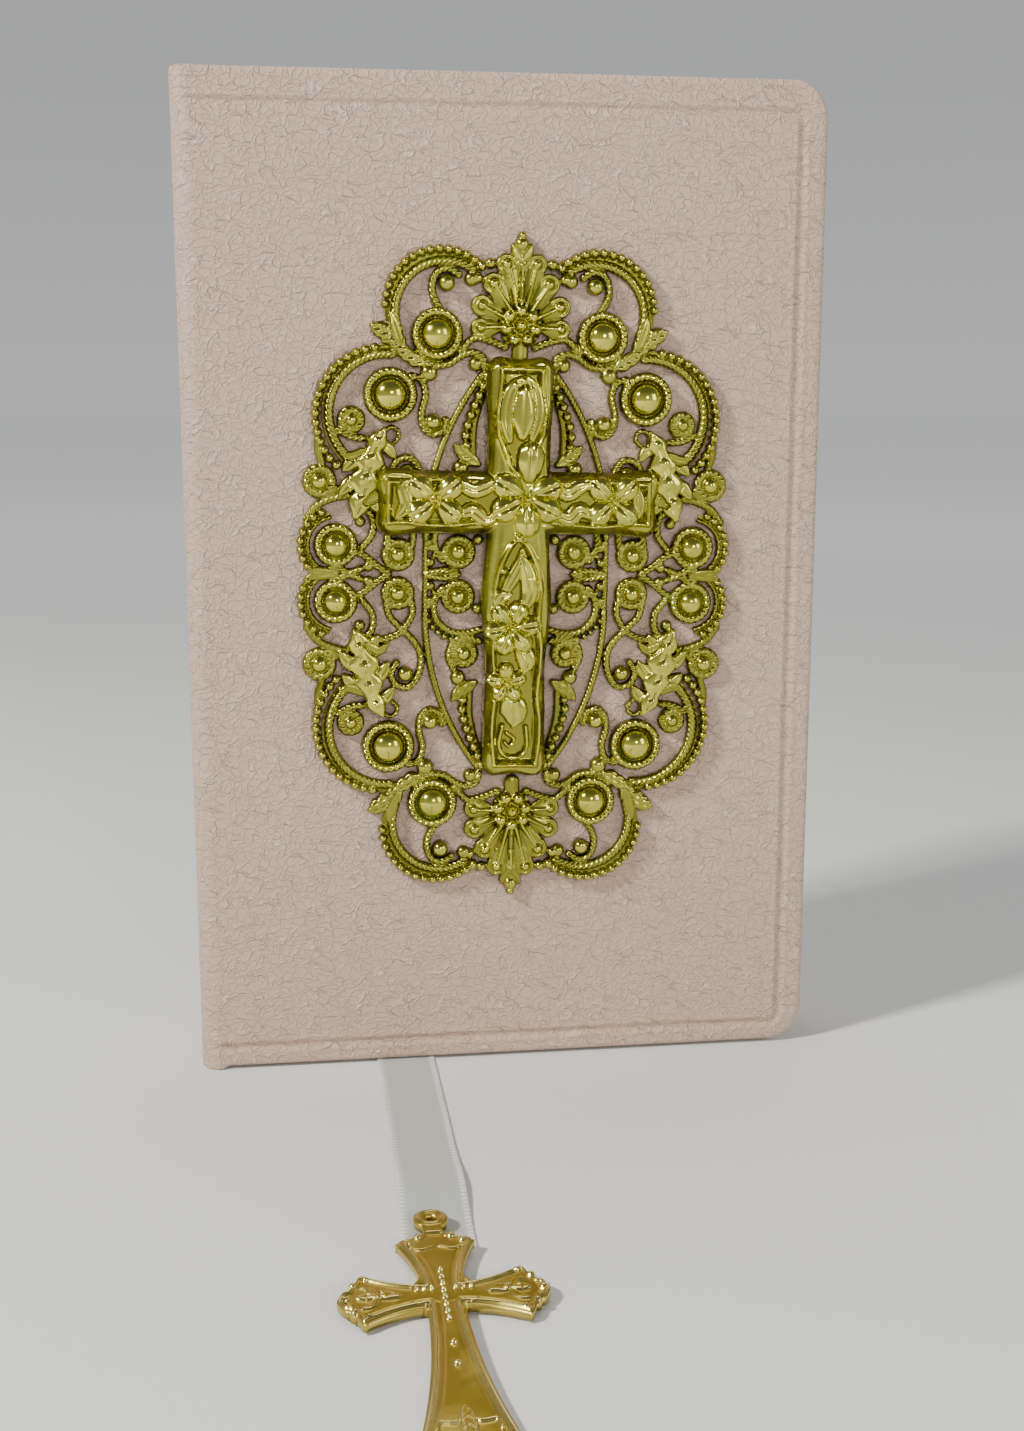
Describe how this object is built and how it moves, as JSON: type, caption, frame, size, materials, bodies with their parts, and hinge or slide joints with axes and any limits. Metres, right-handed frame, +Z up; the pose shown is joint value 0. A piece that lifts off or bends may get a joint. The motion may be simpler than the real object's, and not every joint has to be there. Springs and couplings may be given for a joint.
{
  "type": "prayer book",
  "caption": "Closed pocket prayer book in grained leatherette with a brass filigree cross on the cover and a ribbon marker ending in a cross charm.",
  "frame": {"origin": "on the standing surface, under the middle of the box of the book and its cover ornament, without the ribbon and charm", "axes": "+Z up along the spine, +X from the spine to the fore-edge, -Y out of the front cover"},
  "size_m": [0.103, 0.1308, 0.16],
  "materials": {
    "leatherette": "embossed grain, satin",
    "board": "matte",
    "endpaper": "smooth matte",
    "leaf_paper": "thin paper, gilt edges",
    "kraft": "matte",
    "gauze": "open weave",
    "thread": "twisted linen",
    "band_cloth": "woven stripe",
    "stamped_brass": "bright stamped, greenish gold",
    "glue": "clear, set",
    "satin_ribbon": "satin weave, picot edges",
    "charm_gilt": "polished gold wash"
  },
  "bodies": {
    "spine": {"spine_skin": "leatherette", "spine_inlay": "board", "spine_liner": "kraft", "mull": "gauze", "sewing_thread": "thread", "head_band": "band_cloth", "tail_band": "band_cloth", "signature_4": "leaf_paper", "signature_5": "leaf_paper", "signature_6": "leaf_paper"},
    "front_cover": {"front_cover_skin": "leatherette", "front_board": "board", "front_pastedown": "endpaper", "oval_filigree": "stamped_brass", "filigree_cross": "stamped_brass", "filigree_adhesive": "glue"},
    "front_leaf": {"front_flyleaf": "endpaper"},
    "leaves_1": {"signature_1": "leaf_paper"},
    "leaves_2": {"signature_2": "leaf_paper"},
    "leaves_3": {"signature_3": "leaf_paper", "ribbon_inside": "satin_ribbon", "ribbon_marker": "satin_ribbon", "charm_cross": "charm_gilt", "charm_adhesive": "glue"},
    "back_cover": {"back_cover_skin": "leatherette", "back_board": "board", "back_pastedown": "endpaper"},
    "back_leaf": {"back_flyleaf": "endpaper"}
  },
  "joints": [
    {"name": "front_cover_hinge", "type": "hinge", "parent": "spine", "child": "front_cover", "pos_m": [-0.0481, -0.00583, 0], "axis": [0, 0, -1], "range_deg": [0, 168]},
    {"name": "front_leaf_hinge", "type": "hinge", "parent": "spine", "child": "front_leaf", "pos_m": [-0.0481, -0.00583, 0], "axis": [0, 0, -1], "range_deg": [0, 164]},
    {"name": "leaves_1_hinge", "type": "hinge", "parent": "spine", "child": "leaves_1", "pos_m": [-0.0481, -0.00583, 0], "axis": [0, 0, -1], "range_deg": [0, 155]},
    {"name": "leaves_2_hinge", "type": "hinge", "parent": "spine", "child": "leaves_2", "pos_m": [-0.0481, -0.00583, 0], "axis": [0, 0, -1], "range_deg": [0, 142]},
    {"name": "leaves_3_hinge", "type": "hinge", "parent": "spine", "child": "leaves_3", "pos_m": [-0.0481, -0.00583, 0], "axis": [0, 0, -1], "range_deg": [0, 128]},
    {"name": "back_cover_hinge", "type": "hinge", "parent": "spine", "child": "back_cover", "pos_m": [-0.0481, 0.01142, 0], "axis": [0, 0, 1], "range_deg": [0, 160]},
    {"name": "back_leaf_hinge", "type": "hinge", "parent": "spine", "child": "back_leaf", "pos_m": [-0.0481, 0.01142, 0], "axis": [0, 0, 1], "range_deg": [0, 156]}
  ],
  "couplings": [
    {"joint": "front_leaf_hinge", "follows": "front_cover_hinge", "ratio": 0.96},
    {"joint": "leaves_1_hinge", "follows": "front_cover_hinge", "ratio": 0.9},
    {"joint": "leaves_2_hinge", "follows": "front_cover_hinge", "ratio": 0.82},
    {"joint": "leaves_3_hinge", "follows": "front_cover_hinge", "ratio": 0.745},
    {"joint": "back_leaf_hinge", "follows": "back_cover_hinge", "ratio": 0.95}
  ]
}
